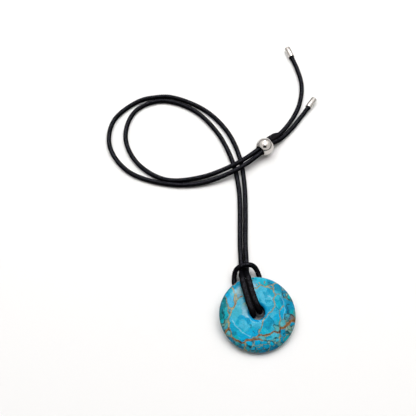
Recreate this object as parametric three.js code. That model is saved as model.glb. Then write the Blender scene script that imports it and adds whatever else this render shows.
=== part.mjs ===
// A cord pendant necklace, laid flat on a table.
//
// One length of round braided cord is folded in half. The fold is looped through the hole of a
// doughnut-shaped stone in a lark's head knot, so two strands run side by side from the stone. They make one
// wide turn, pass over themselves and go through a polished bead that slides along both, and each ends in a
// plain cap. The stone lies with its lower rim on the table and leans on the two strands behind it.
//
// Millimetres, +Z up. The origin is on the table under the middle of the stone, and the strands run off
// towards +Y.

import * as THREE from 'three';

// Driving dimensions ------------------------------------------------------------------------------------

const cordDiameter = 3;
const cordRadius = cordDiameter / 2;

const stoneDiameter = 45;
const stoneThickness = 6.5;
const holeDiameter = 8.8;
const holeOffset = 0.8; // the hole is drilled a little above the middle
const holeEdgeRound = 2;
const rimDepth = 3.6; // how far in from the rim its rounding begins
const rimThickness = 5.8;
const stoneTilt = THREE.MathUtils.degToRad(8.5); // leaning on the strands behind it
const stoneTurn = THREE.MathUtils.degToRad(14);

const beadDiameter = 12;
const beadBore = 7;
const beadLip = 0.5; // rounding where the bore breaks out of the ball
const beadPlace = new THREE.Vector3(9.1, 119.3, beadDiameter / 2);
const beadTurn = THREE.MathUtils.degToRad(45); // the way the bore points, from +X
const beadStrandGap = 3.2; // between the middles of the two strands in the bore
const beadStraight = 5.2; // how far the strands run straight, either way from the bead's middle

const capDiameter = 4.4;
const capBore = 3.6;
const capLength = 9;
const capDepth = 6.5;
const capEdgeRound = 0.5;
const capMouthBevel = 0.12;
const cordInCap = 5;
const caps = {
  end_cap_upper: { mouth: new THREE.Vector3(32.4, 201.9, capDiameter / 2), turn: 107.5 },
  end_cap_lower: { mouth: new THREE.Vector3(41.2, 155.3, capDiameter / 2), turn: 57.5 },
};

// Each strand in the stone's own frame: where it lies across the face, where it hangs in the hole, and how
// far from the stone's middle its turn through the hole begins.
const innerStrand = { acrossFace: -4, acrossHole: -2.3, turnFrom: 5.15 };
const outerStrand = { acrossFace: -0.35, acrossHole: 1.9, turnFrom: 6.9 };
const turnSpans = 5;

// A strand's way over the raised rim and the face, in the stone's own frame: how far it is to one side of
// acrossFace, how far from the stone's middle, and how high above it.
const overRim = [
  { aside: 0.8, from: 25.3, height: -0.8 },
  { aside: 0.45, from: 23.2, height: 3.3 },
  { aside: 0, from: 19.2, height: 5.4 },
  { aside: 0, from: 12.5, height: 6 },
];

const stoneSegments = 64;
const beadSegments = 40;
const capSegments = 24;
const cordSides = 8;
const cordStep = 18; // the tube's steps on long spans are about this long

// The cord's free stretches, as [x, y, z] of its middle ---------------------------------------------------

// From the upper cap to the bead.
const upperTail = [
  [35.9, 190.9, 1.6],
  [38.1, 175.7, 1.5],
  [35.3, 158.4, 1.5],
  [28.7, 143.8, 2.5],
  [20, 131.2, 4.3],
  [16.6, 128.3, 5.3],
];

// From the bead over the crossing, round the inside of the loop and down to the knot.
const innerRun = [
  [-10.8, 106.2, 4.8],
  [-34, 97.4, 2.2],
  [-57.5, 96.2, 1.5],
  [-77, 110, 1.5],
  [-85.6, 132, 1.5],
  [-79.2, 153.6, 1.5],
  [-62, 161.8, 1.5],
  [-40, 154.2, 1.5],
  [-23.5, 135.7, 1.5],
  [-13.4, 113, 1.5],
  [-8.9, 90, 1.5],
  [-8.9, 46, 1.6],
  [-8.6, 32.5, 2.4],
  [-8.8, 27.8, 4.3],
];

// The fold: out from under the stone, over both strands and back under the stone.
const fold = [
  [-12.7, 20.5, 1.5],
  [-13.1, 22.9, 2],
  [-12.4, 28, 4.8],
  [-10.1, 29.9, 7],
  [-5.7, 31.3, 7.5],
  [-1.2, 31, 5.7],
  [2.2, 25.8, 2.2],
  [2.3, 19, 1.5],
];

// From the knot up and round the outside of the loop, and over the crossing to the bead.
const outerRun = [
  [-5.5, 27.8, 4.3],
  [-5.3, 32.5, 2.4],
  [-5.6, 46, 1.6],
  [-5, 90, 1.5],
  [-7.8, 114, 1.5],
  [-16, 135.5, 1.5],
  [-31.5, 153.8, 1.5],
  [-55, 165.2, 1.5],
  [-66.9, 165, 1.5],
  [-78, 161.5, 1.5],
  [-94, 145.3, 1.5],
  [-95.8, 123, 1.5],
  [-82, 102.5, 1.5],
  [-57.5, 92.9, 1.5],
  [-34, 92.8, 2.2],
  [-10.1, 101.8, 4.8],
];

// From the bead to the lower cap.
const lowerTail = [
  [16.3, 124.2, 4.6],
  [21, 128.6, 2.6],
  [29.5, 138.6, 1.6],
  [36.3, 148.4, 1.5],
];

// Finishes ------------------------------------------------------------------------------------------------

const turquoise = new THREE.MeshStandardMaterial({ color: 0x2fa3c4, roughness: 0.25, metalness: 0 });
const blackCotton = new THREE.MeshStandardMaterial({ color: 0x16161a, roughness: 0.6, metalness: 0 });
const polishedSteel = new THREE.MeshStandardMaterial({ color: 0xb9b2ad, roughness: 0.15, metalness: 1 });

// Stone ---------------------------------------------------------------------------------------------------

// Half of the stone's section, from the waist of the rim over the domed face to the waist of the hole.
function halfStoneSection() {
  const face = stoneThickness / 2;
  const rimHeight = rimThickness / 2;
  const holeRadius = holeDiameter / 2;
  const domeStart = holeRadius + holeEdgeRound;
  const domeEnd = stoneDiameter / 2 - rimDepth;
  const section = new THREE.Path();
  section.absellipse(domeEnd, 0, rimDepth, rimHeight, 0, Math.PI / 2, false);
  section.quadraticCurveTo((domeStart + domeEnd) / 2, face, domeStart, face);
  section.absarc(domeStart, face - holeEdgeRound, holeEdgeRound, Math.PI / 2, Math.PI, false);
  section.lineTo(holeRadius, 0);
  return section.getPoints(3);
}

// A ring turned from half its section, outside first, and the same half mirrored, with its axis along Y.
function turnRing(half, segments) {
  const mirrored = half.slice(0, -1).reverse().map((point) => new THREE.Vector2(point.x, -point.y));
  return new THREE.LatheGeometry([...half, ...mirrored], segments);
}

function makeStone() {
  const geometry = turnRing(halfStoneSection(), stoneSegments);
  geometry.rotateX(Math.PI / 2);

  // The hole sits off the middle and the rim stays round, so each ring moves by its share of the offset.
  const place = geometry.attributes.position;
  const body = (stoneDiameter - holeDiameter) / 2;
  for (let i = 0; i < place.count; i += 1) {
    const inFromRim = stoneDiameter / 2 - Math.hypot(place.getX(i), place.getY(i));
    place.setY(i, place.getY(i) + (holeOffset * inFromRim) / body);
  }

  const stone = new THREE.Mesh(geometry, turquoise);
  stone.name = 'pendant_stone';
  stone.rotation.set(stoneTilt, 0, stoneTurn, 'ZYX');
  stone.position.z = -new THREE.Box3().setFromObject(stone, true).min.z;
  stone.updateMatrixWorld();
  return stone;
}

// Bead and caps -------------------------------------------------------------------------------------------

function makeBead() {
  const radius = beadDiameter / 2;
  const boreRadius = beadBore / 2;
  const lipAngle = Math.acos((boreRadius + beadLip) / radius);
  const boreEnd = Math.sqrt(radius ** 2 - boreRadius ** 2);
  const section = new THREE.Path();
  section.absarc(0, 0, radius, 0, lipAngle, false);
  section.quadraticCurveTo(boreRadius, boreEnd - beadLip / 3, boreRadius, boreEnd - 2 * beadLip);
  section.lineTo(boreRadius, 0);
  const bead = new THREE.Mesh(turnRing(section.getPoints(4), beadSegments), polishedSteel);
  bead.name = 'slider_bead';
  bead.position.copy(beadPlace);
  bead.rotation.z = beadTurn - Math.PI / 2;
  return bead;
}

// A cup over the cord's end, turned about Y, with its mouth at its own origin.
function makeCap(name, { mouth, turn }) {
  const outer = capDiameter / 2;
  const inner = capBore / 2;
  const section = new THREE.Path();
  section.moveTo(0, capDepth);
  section.lineTo(inner, capDepth);
  section.lineTo(inner, capMouthBevel);
  section.lineTo(inner + capMouthBevel, 0);
  section.lineTo(outer - capMouthBevel, 0);
  section.lineTo(outer, capMouthBevel);
  section.lineTo(outer, capLength - capEdgeRound);
  section.absarc(outer - capEdgeRound, capLength - capEdgeRound, capEdgeRound, 0, Math.PI / 2, false);
  section.lineTo(0, capLength);
  const cap = new THREE.Mesh(new THREE.LatheGeometry(section.getPoints(2), capSegments), polishedSteel);
  cap.name = name;
  cap.position.copy(mouth);
  cap.rotation.z = THREE.MathUtils.degToRad(turn - 90);
  return cap;
}

// Cord ----------------------------------------------------------------------------------------------------

// Where the cord leaves a cap: its end deep in the cup, and a point just outside the mouth.
function outOfCap({ mouth, turn }) {
  const angle = THREE.MathUtils.degToRad(turn);
  const along = new THREE.Vector3(Math.cos(angle), Math.sin(angle), 0);
  return [cordInCap, -cordRadius].map((reach) => mouth.clone().addScaledVector(along, reach));
}

// Straight through the bead, to one side of the bore's axis: +1 for the upper strand, -1 for the lower.
function throughBead(side) {
  const along = new THREE.Vector3(Math.cos(beadTurn), Math.sin(beadTurn), 0);
  const across = new THREE.Vector3(-along.y, along.x, 0);
  const middle = beadPlace.clone().addScaledVector(across, (side * beadStrandGap) / 2);
  return [-beadStraight, beadStraight].map((reach) => middle.clone().addScaledVector(along, reach));
}

// Over the stone's rim and face and down through the hole: the last part is half a circle round the body
// of the stone that ends on the table, under the stone.
function roundStone(stone, { acrossFace, acrossHole, turnFrom }) {
  const places = overRim.map(({ aside, from, height }) => [acrossFace + aside, from, height]);
  const top = overRim.at(-1).height;
  const bottom = (cordRadius - stone.position.z - turnFrom * Math.sin(stoneTilt)) / Math.cos(stoneTilt);
  const radius = (top - bottom) / 2;
  for (let i = 0; i <= turnSpans; i += 1) {
    const angle = Math.PI * (0.5 - i / turnSpans);
    places.push([
      THREE.MathUtils.lerp(acrossFace, acrossHole, THREE.MathUtils.smoothstep(i, -1, 3)),
      turnFrom - radius * Math.cos(angle),
      bottom + radius * (1 + Math.sin(angle)),
    ]);
  }
  return places.map((place) => stone.localToWorld(new THREE.Vector3(...place)));
}

// The middle line of the cord. Nothing of it sinks into the table, and a step never spans two of its points.
class CordLine extends THREE.CatmullRomCurve3 {
  constructor(points) {
    super(points);
    const spans = points.length - 1;
    this.stations = [0];
    for (let i = 0; i < spans; i += 1) {
      const steps = Math.max(1, Math.round(points[i].distanceTo(points[i + 1]) / cordStep));
      for (let step = 1; step <= steps; step += 1) this.stations.push((i + step / steps) / spans);
    }
  }

  get steps() {
    return this.stations.length - 1;
  }

  getPoint(t, target) {
    const point = super.getPoint(t, target);
    point.z = Math.max(point.z, cordRadius);
    return point;
  }

  getUtoTmapping(u) {
    return this.stations[Math.round(u * this.steps)];
  }
}

function makeCord(stone) {
  const toPoints = (rows) => rows.map((row) => new THREE.Vector3(...row));
  const line = new CordLine([
    ...outOfCap(caps.end_cap_upper),
    ...toPoints(upperTail),
    ...throughBead(1).reverse(),
    ...toPoints(innerRun),
    ...roundStone(stone, innerStrand),
    ...toPoints(fold),
    ...roundStone(stone, outerStrand).reverse(),
    ...toPoints(outerRun),
    ...throughBead(-1),
    ...toPoints(lowerTail),
    ...outOfCap(caps.end_cap_lower).reverse(),
  ]);
  const section = new THREE.Shape();
  section.absarc(0, 0, cordRadius, 0, 2 * Math.PI, false);
  const geometry = new THREE.ExtrudeGeometry(section, {
    curveSegments: cordSides / 2,
    steps: line.steps,
    extrudePath: line,
    bevelEnabled: false,
  });
  const cord = new THREE.Mesh(geometry, blackCotton);
  cord.name = 'cord';
  return cord;
}

// Necklace ------------------------------------------------------------------------------------------------

const necklace = new THREE.Group();
const stone = makeStone();
necklace.add(stone, makeCord(stone), makeBead());
for (const [name, cap] of Object.entries(caps)) necklace.add(makeCap(name, cap));

export default necklace;
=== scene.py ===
# %% [markdown]
# # A turquoise ring pendant on a braided cord
#
# The necklace has four kinds of piece: a doughnut of turquoise, one long braided cord, a drilled steel bead
# that slides on both strands, and two small steel caps on the cord's ends. This lesson dresses the solids
# of the CAD model, which are right in size and place but plain. Each step says what the thing is, how it
# could be made in Blender, and why it is made the way it is here. All lengths that Blender sees are metres.

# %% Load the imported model
import math

import bpy
import numpy as np
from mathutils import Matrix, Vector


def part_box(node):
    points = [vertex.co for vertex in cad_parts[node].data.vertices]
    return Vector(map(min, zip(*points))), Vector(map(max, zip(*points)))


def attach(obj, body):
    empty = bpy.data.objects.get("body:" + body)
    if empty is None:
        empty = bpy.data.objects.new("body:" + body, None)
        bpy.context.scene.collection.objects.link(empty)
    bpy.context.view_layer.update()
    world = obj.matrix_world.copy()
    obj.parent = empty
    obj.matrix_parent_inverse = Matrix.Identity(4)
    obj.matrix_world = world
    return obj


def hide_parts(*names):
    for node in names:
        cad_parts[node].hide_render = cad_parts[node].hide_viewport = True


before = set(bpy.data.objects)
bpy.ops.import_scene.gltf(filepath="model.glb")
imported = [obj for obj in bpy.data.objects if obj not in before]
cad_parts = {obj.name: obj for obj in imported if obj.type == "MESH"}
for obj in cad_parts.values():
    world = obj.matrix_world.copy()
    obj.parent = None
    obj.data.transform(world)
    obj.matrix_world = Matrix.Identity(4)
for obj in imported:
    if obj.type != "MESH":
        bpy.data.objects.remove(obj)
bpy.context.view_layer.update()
MM = 0.001
print("solids:", ", ".join(sorted(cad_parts)))

# %% [markdown]
# ## The camera
#
# A necklace is laid on a table and looked at from well above, from the side where the stone lies. The camera
# looks down at 60 degrees and has no roll. A longish lens keeps the round stone from looking stretched, as
# a wide lens close by would make it.

# %% Place the camera
def add_to_scene(name, data):
    """Puts new data into the scene as an object that sits at the origin."""
    made = bpy.data.objects.new(name, data)
    bpy.context.scene.collection.objects.link(made)
    return made


camera_place = np.array([-0.0290, -0.1512, 0.3923])
camera_tip = math.radians(30)  # away from looking straight down
camera_data = bpy.data.cameras.new("over_the_table")
camera_data.sensor_width = 36
camera_data.lens = 60.58
camera_data.clip_start = 0.01
camera = add_to_scene("over_the_table", camera_data)
camera.location = camera_place
camera.rotation_euler = (camera_tip, 0, 0)
bpy.context.scene.camera = camera
print(f"camera: {camera_data.lens:.1f} mm lens, {np.linalg.norm(camera_place):.2f} m from the origin")

# %% [markdown]
# ## The cord's route
#
# The cord is nearly a metre of limp braid with one end in each cap. It runs from the upper cap through the
# bead, over its own vertical strands, round the loop, over the stone's face and down through the hole. Under
# the stone it turns back, makes the fold that holds both strands, goes under the stone again and comes back
# the same way to the lower cap. The points below are the middle of the cord. Where it lies on the table its
# middle is half a diameter up.
#
# A Bezier curve object with a round bevel would do for a smooth hose. A braid needs its own surface, so the
# route becomes an array of points first, and the surface is carried along it afterwards.

# %% The free stretches of the cord
cord_diameter = 0.003
cord_radius = cord_diameter / 2

upper_tail = [
    (0.0359, 0.1909, 0.0016), (0.0381, 0.1757, 0.0015), (0.0353, 0.1584, 0.0015),
    (0.0287, 0.1438, 0.0025), (0.0200, 0.1312, 0.0043), (0.0166, 0.1283, 0.0053),
]
inner_run = [
    (-0.0108, 0.1062, 0.0048), (-0.0340, 0.0974, 0.0022), (-0.0575, 0.0962, 0.0015),
    (-0.0770, 0.1100, 0.0015), (-0.0856, 0.1320, 0.0015), (-0.0792, 0.1536, 0.0015),
    (-0.0620, 0.1618, 0.0015), (-0.0400, 0.1542, 0.0015), (-0.0235, 0.1357, 0.0015),
    (-0.0134, 0.1130, 0.0015), (-0.0089, 0.0900, 0.0015), (-0.0089, 0.0460, 0.0016),
    (-0.0086, 0.0325, 0.0024), (-0.0088, 0.0278, 0.0043),
]
fold = [
    (-0.0127, 0.0205, 0.0015), (-0.0131, 0.0229, 0.0020), (-0.0124, 0.0280, 0.0048),
    (-0.0101, 0.0299, 0.0070), (-0.0057, 0.0313, 0.0075), (-0.0012, 0.0310, 0.0057),
    (0.0022, 0.0258, 0.0022), (0.0023, 0.0190, 0.0015),
]
outer_run = [
    (-0.0055, 0.0278, 0.0043), (-0.0053, 0.0325, 0.0024), (-0.0056, 0.0460, 0.0016),
    (-0.0050, 0.0900, 0.0015), (-0.0078, 0.1140, 0.0015), (-0.0160, 0.1355, 0.0015),
    (-0.0315, 0.1538, 0.0015), (-0.0550, 0.1652, 0.0015), (-0.0669, 0.1650, 0.0015),
    (-0.0780, 0.1615, 0.0015), (-0.0940, 0.1453, 0.0015), (-0.0958, 0.1230, 0.0015),
    (-0.0820, 0.1025, 0.0015), (-0.0575, 0.0929, 0.0015), (-0.0340, 0.0928, 0.0022),
    (-0.0101, 0.1018, 0.0048),
]
lower_tail = [
    (0.0163, 0.1242, 0.0046), (0.0210, 0.1286, 0.0026), (0.0295, 0.1386, 0.0016),
    (0.0363, 0.1484, 0.0015),
]
stretches = (upper_tail, inner_run, fold, outer_run, lower_tail)
highest = max(point[2] for stretch in stretches for point in stretch)
print("the free stretches climb to", round(highest / MM, 1), "mm, where the fold passes over both strands")

# %% Two helpers for places
def smooth_step(value, low, high):
    """0 below low, 1 above high, and 3 t squared less 2 t cubed between them."""
    t = np.clip((value - low) / (high - low), 0, 1)
    return t * t * (3 - 2 * t)


def axes_of(turn, tilt):
    """Three unit vectors as rows: a level one at the given turn from +X, one at right angles to it that
    rises by the tilt, and the one that stands square to both."""
    level = np.array([math.cos(turn), math.sin(turn), 0])
    ahead = np.array([-math.sin(turn), math.cos(turn), 0])
    up = np.array([0, 0, 1.0])
    rising = ahead * math.cos(tilt) + up * math.sin(tilt)
    return np.array([level, rising, up * math.cos(tilt) - ahead * math.sin(tilt)])


def middle_of(node):
    """The point halfway between the low and the high corner of a solid's box."""
    return np.mean(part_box(node), axis=0)


print("the stone's middle in mm:", np.round(middle_of("pendant_stone") / MM, 1).tolist())

# %% Where the cord meets the stone
stone_middle = middle_of("pendant_stone")
stone_tilt, stone_turn = math.radians(8.5), math.radians(14)
stone_axes = axes_of(stone_turn, stone_tilt)
turn_points, slide_points = 6, 4


def round_stone(across_face, across_hole, turn_from):
    """Points over the raised rim and the face, then half a circle down through the hole that ends on the
    table. The strand slides from one side distance to the other on a smooth step as it goes down. Each
    point says how far it is aside, up the stone's face and above its middle plane."""
    over_rim = np.array([[0.8, 25.3, -0.8], [0.45, 23.2, 3.3], [0, 19.2, 5.4], [0, 12.5, 6.0]]) * MM
    over_rim[:, 0] += across_face
    top = over_rim[-1, 2]
    bottom = (cord_radius - stone_middle[2] - turn_from * math.sin(stone_tilt)) / math.cos(stone_tilt)
    radius = (top - bottom) / 2
    step = np.arange(turn_points)
    angle = math.pi * (0.5 - step / (turn_points - 1))
    aside = across_face + (across_hole - across_face) * smooth_step((step + 1) / slide_points, 0, 1)
    rows = [aside, turn_from - radius * np.cos(angle), bottom + radius * (1 + np.sin(angle))]
    return np.vstack([over_rim, np.transpose(rows)]) @ stone_axes + stone_middle


inner_turn = round_stone(across_face=-0.0040, across_hole=-0.0023, turn_from=0.00515)
outer_turn = round_stone(across_face=-0.00035, across_hole=0.0019, turn_from=0.0069)
print("the strands go through the stone's hole down to", np.round(inner_turn[-1] / MM, 1).tolist())

# %% Where the cord meets the steel
bead_middle = middle_of("slider_bead")
bead_axes = axes_of(math.radians(45), 0)
strand_aside, bead_straight = 0.0016, 0.0052
deep_in_cap, outside_mouth = 0.005, 0.0015
cap_mouths = {  # the middle of each mouth, and the way from there into the cap as a turn from +X
    "end_cap_upper": (np.array([0.0324, 0.2019, 0.0022]), math.radians(107.5)),
    "end_cap_lower": (np.array([0.0412, 0.1553, 0.0022]), math.radians(57.5)),
}


def through_bead(side):
    """Two points on a straight line through the bore, a little to one side of its middle."""
    reach = np.array([[-bead_straight], [bead_straight]])
    return bead_middle + side * strand_aside * bead_axes[1] + reach * bead_axes[0]


def out_of_cap(name):
    """The cord's end deep in a cap, and a point just outside its mouth."""
    mouth, turn = cap_mouths[name]
    return mouth + np.array([[deep_in_cap], [-outside_mouth]]) * axes_of(turn, 0)[0]


route = np.vstack([
    out_of_cap("end_cap_upper"), upper_tail, through_bead(1)[::-1], inner_run, inner_turn, fold,
    outer_turn[::-1], outer_run, through_bead(-1), lower_tail, out_of_cap("end_cap_lower")[::-1],
])
print("points on the route:", len(route))

# %% [markdown]
# The points are only a few to a bend, so a smooth line is drawn through them and cut into many short steps of
# one length. A stitch is then the same number of steps everywhere.

# %% One smooth line through all the points
def smooth_line(points, steps):
    """A cubic on each span between two points (Catmull-Rom): it leaves each point in the direction of its
    two neighbours, each weighed by the square root of its distance, so that it never makes a loop."""
    before = np.vstack([2 * points[0] - points[1], points[:-2]])
    start, stop = points[:-1], points[1:]
    after = np.vstack([points[2:], 2 * points[-1] - points[-2]])
    pairs = ((before, start), (start, stop), (stop, after))
    t0, t1, t2 = (np.sqrt(np.linalg.norm(b - a, axis=1))[:, None] for a, b in pairs)
    leave = (start - before) / t0 - (stop - before) / (t0 + t1) + (stop - start) / t1
    arrive = (stop - start) / t1 - (after - start) / (t1 + t2) + (after - stop) / t2
    leave, arrive = (leave * t1)[:, None], (arrive * t1)[:, None]
    u = np.linspace(0, 1, steps, endpoint=False)[None, :, None]
    on_spans = (
        (2 * u**3 - 3 * u**2 + 1) * start[:, None] + (u**3 - 2 * u**2 + u) * leave
        + (3 * u**2 - 2 * u**3) * stop[:, None] + (u**3 - u**2) * arrive
    )
    return np.vstack([on_spans.reshape(-1, points.shape[1]), points[-1:]])


def run_along(points):
    """The distance run from the first point to each point: the running sum of the steps."""
    return np.concatenate([[0], np.cumsum(np.linalg.norm(np.diff(points, axis=0), axis=1))])


def even_steps(points, count):
    """The same line cut into equal steps, by reading each coordinate off against the distance run."""
    run = run_along(points)
    wanted = np.linspace(0, run[-1], count)
    return np.transpose([np.interp(wanted, run, column) for column in points.T])


print(f"straight from point to point the route is {run_along(route)[-1]:.3f} m long")

# %% The cord's middle line
stitch_length = 0.00136
rings_per_stitch, steps_per_span = 4, 60
line = smooth_line(route, steps_per_span)
line[:, 2] = np.maximum(line[:, 2], cord_radius)
cord_length = run_along(line)[-1]
stitch_count = round(cord_length / stitch_length)
middle_line = even_steps(line, stitch_count * rings_per_stitch + 1)
print(f"cord: {cord_length:.4f} m, {stitch_count} stitches, {len(middle_line)} rings")

# %% [markdown]
# ## The braid
#
# The cord is a round braid of sixteen carriers, dyed black and waxed. What the eye sees is a row of small
# slanted stitches in each of sixteen columns, with the rows of neighbouring columns half a stitch apart.
#
# An Array modifier along a Curve could repeat one stitch, but it twists in tight bends. Here the surface is
# a tube on a grid: one direction runs round the cord and the other along it. At each ring a pair of unit
# vectors stands square to the line, and it is passed on from ring to ring by the smallest turn that
# follows the line, so the columns of stitches never twist.

# %% Vectors that stand square to the line
def unit(vectors):
    """Each vector divided by its length."""
    return vectors / np.linalg.norm(vectors, axis=-1, keepdims=True)


def untwisted_sides(tangents, first):
    """The first side vector, turned at each ring by the smallest rotation that takes the last tangent to
    the next: I + K + K K / (1 + cosine), with K the cross product matrix. All running products come from
    doubling the stretch that each matrix covers."""
    a, b = tangents[:-1], tangents[1:]
    axis = np.cross(a, b)
    turn = np.zeros((len(a), 3, 3))
    turn[:, [2, 0, 1], [1, 2, 0]] = axis
    turn[:, [1, 2, 0], [2, 0, 1]] = -axis
    cosine = (a * b).sum(1)[:, None, None]
    total = np.eye(3) + turn + turn @ turn / (1 + cosine)
    covered = 1
    while covered < len(total):
        total[covered:] = total[covered:] @ total[:-covered]
        covered *= 2
    return np.vstack([first, total @ first])


tangents = unit(np.gradient(middle_line, axis=0))
side_start = unit(np.cross(tangents[0], [0, 0, 1]))
sides = untwisted_sides(tangents, side_start)
lifts = np.cross(tangents, sides)
print("largest lean of a side vector:", float(np.abs((sides * tangents).sum(1)).max().round(6)))

# %% [markdown]
# The relief is pressed inwards from the crests of the stitches. The crests stand a little proud of the
# nominal radius, as they do on a soft cord, so that a gauge laid over it reads the real diameter.

# %% The cord's surface
columns = 16
around = np.arange(2 * columns) / 2  # in columns: the middle of each one, and each furrow between two
crest_radius = cord_radius + 0.00007
furrow_depth = 0.0001
notch_depth = 0.00008


def braid_depth(column, stitch):
    """How far a place lies under the crests. Between two columns it is the furrow's depth. In the middle
    of a column it is the notch's depth between two stitches, on a cosine of the distance along."""
    in_furrow = np.isclose(column % 1, 0)
    phase = stitch + 0.5 * (np.floor(column) % 2)
    return np.where(in_furrow, furrow_depth, notch_depth * (0.5 + 0.5 * np.cos(2 * math.pi * phase)))


stitches = np.arange(len(middle_line)) / rings_per_stitch
depth = braid_depth(around[None, :], stitches[:, None])
turn_round = (2 * math.pi * around / columns)[None, :, None]
spoke = np.cos(turn_round) * sides[:, None] + np.sin(turn_round) * lifts[:, None]
from_middle = (crest_radius - depth)[..., None] * spoke
print(f"braid: {columns} columns, the furrows {depth.max() / MM:.2f} mm deep")

# %% [markdown]
# A soft cord doesn't stay round where something presses on it. The bead has squeezed the upper strand just
# outside its mouth. From the fold to the hole the pull of the knot presses the two strands against each
# other, and on the stone's face it flattens them as well. There the round section becomes wider and its top
# comes down. How much is a share from 0 to 1 that rises and falls smoothly along the cord.

# %% Where the cord is squeezed
bulge_starts, bulge_ends, past_upper_tail = (0.0042, 0.0066), (0.0115, 0.0160), 0.2
face_heights = (0.0034, 0.0052)
pressed_from, pressed_fully = 0.024, 0.014

run = run_along(middle_line)
past_bead = (middle_line - bead_middle) @ bead_axes[0]
squeezed_by_bead = smooth_step(past_bead, *bulge_starts) * (1 - smooth_step(past_bead, *bulge_ends))
squeezed_by_bead *= run < past_upper_tail
over_face = smooth_step((middle_line - stone_middle) @ stone_axes[2], *face_heights)
first_half = run < cord_length / 2
inner_start, outer_end = run[over_face > 0.5][[0, -1]]


def pressed_before(travelled, start):
    """The share on a strand that travels towards the stone's face: it rises before the face is reached."""
    on_the_way = smooth_step(travelled, start - pressed_from, start - pressed_fully) * (travelled < start)
    return np.maximum(over_face, on_the_way)


inner_pressed = pressed_before(run, inner_start) * first_half
outer_pressed = pressed_before(-run, -outer_end) * ~first_half
print(f"pressed by the bead: {np.mean(squeezed_by_bead > 0.5):.1%} of the cord")

# %% Press the surface
def reach_to_touch(mine, others, overlap=0.01, most=0.3):
    """How much further than its radius a strand must reach to meet the other one half way."""
    apart = np.zeros(len(middle_line))
    gaps = np.linalg.norm(middle_line[mine > 0][:, None] - middle_line[others > 0], axis=2)
    apart[mine > 0] = gaps.min(axis=1)
    return np.clip(apart / cord_diameter - 1 + overlap, 0, most)


def flattened(offsets, share, across, wider, free_side, lower):
    """Offsets from the middle line, moved out by a part of their reach on the side that the across vector
    points to, by another part on the free side, and down by a part of their height above the middle."""
    upwards = np.cross(tangents, across)
    upwards *= np.sign(upwards[:, 2:])
    reach = (offsets * across[:, None]).sum(2)
    height = np.clip((offsets * upwards[:, None]).sum(2), 0, None)
    part = np.where(reach > 0, np.reshape(wider, (-1, 1)), np.reshape(free_side, (-1, 1)))
    out = share[:, None] * part * reach
    down = share[:, None] * lower * height
    return offsets + out[..., None] * across[:, None] - down[..., None] * upwards[:, None]


level_across = unit(np.cross([0, 0, 1], tangents))
stone_across = np.broadcast_to(stone_axes[0], tangents.shape)
to_outer = reach_to_touch(inner_pressed, outer_pressed)
to_inner = reach_to_touch(outer_pressed, inner_pressed)
for squeeze in (
    {"share": squeezed_by_bead, "across": -level_across, "wider": 0.8, "free_side": 0.35, "lower": 0.25},
    {"share": inner_pressed, "across": stone_across, "wider": to_outer, "free_side": 0.24 * over_face,
     "lower": 0.15},
    {"share": outer_pressed, "across": -stone_across, "wider": to_inner, "free_side": 0.1 * over_face,
     "lower": 0.1},
):
    from_middle = flattened(from_middle, **squeeze)
cord_points = middle_line[:, None] + from_middle
cord_points[..., 2] = np.maximum(cord_points[..., 2], 0)
furthest = np.linalg.norm(from_middle, axis=2).max()
print("furthest of the cord's surface from its middle in mm:", (furthest / MM).round(2))

# %% Turn a grid of points into a mesh
def mesh_from_grid(name, points, ring_closed):
    """A face joins each point to the next one round and the next one along. The points go round, so the
    last column joins the first. Either the last ring joins the first, or both ends are closed by a face."""
    rings, count = points.shape[:2]
    index = np.arange(rings * count).reshape(rings, count)
    if ring_closed:
        index = np.vstack([index, index[:1]])
    beside = np.roll(index, -1, axis=1)
    corners = np.stack([index[:-1], beside[:-1], beside[1:], index[1:]], axis=-1).reshape(-1, 4)
    faces = corners.tolist()
    if not ring_closed:
        faces += [index[0, ::-1].tolist(), index[-1].tolist()]
    mesh = bpy.data.meshes.new(name)
    mesh.from_pydata(points.reshape(-1, 3).tolist(), [], faces)
    mesh.shade_smooth()
    made = add_to_scene(name, mesh)
    print(f"{name}: {len(mesh.vertices)} points, {len(mesh.polygons)} faces")
    return made


cord = mesh_from_grid("braided_cord", cord_points, ring_closed=False)

# %% A map on the cord for its material
def unrolled_map(mesh, rings, count):
    """U runs once round from 0 to 1 and V from end to end. The last faces of each ring reach U = 1 and
    don't go back to 0."""
    u = np.arange(count) / count
    v = np.arange(rings) / (rings - 1)
    low, left = np.meshgrid(v[:-1], u, indexing="ij")
    high, right = low + v[1], left + 1 / count
    corners = np.stack([left, low, right, low, right, high, left, high], axis=-1).reshape(-1, 2)
    ends = np.concatenate([np.full((2 * count, 1), 0.5), np.repeat([[0.0], [1.0]], count, axis=0)], axis=1)
    layer = mesh.uv_layers.new(name="unrolled")
    layer.uv.foreach_set("vector", np.vstack([corners, ends]).astype(np.float32).ravel())


def mark_points(mesh, name, values, kind="FLOAT", part="value"):
    """Keeps one value or colour for each point of a mesh, under a name that a material can read."""
    marks = mesh.attributes.new(name, kind, "POINT")
    marks.data.foreach_set(part, values.astype(np.float32).ravel())


face_tint = 0.6
unrolled_map(cord.data, len(middle_line), 2 * columns)
squeezed = np.maximum(squeezed_by_bead, face_tint * over_face)
mark_points(cord.data, "squeezed", np.repeat(squeezed, 2 * columns))
print(f"squeezed: {np.mean(squeezed > 0.5):.1%} of the cord's length")

# %% [markdown]
# ## Small helpers for materials
#
# A material is a tree of nodes. One helper adds a node and wires it: an input that is given a socket is
# linked, and any other value is written into it. The others name the nodes that are used most: arithmetic,
# a mix of two colours, a change of range, and noise. A Mix node has sockets of the same name for numbers,
# vectors and colours, so its colour sockets are picked by their place.

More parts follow.
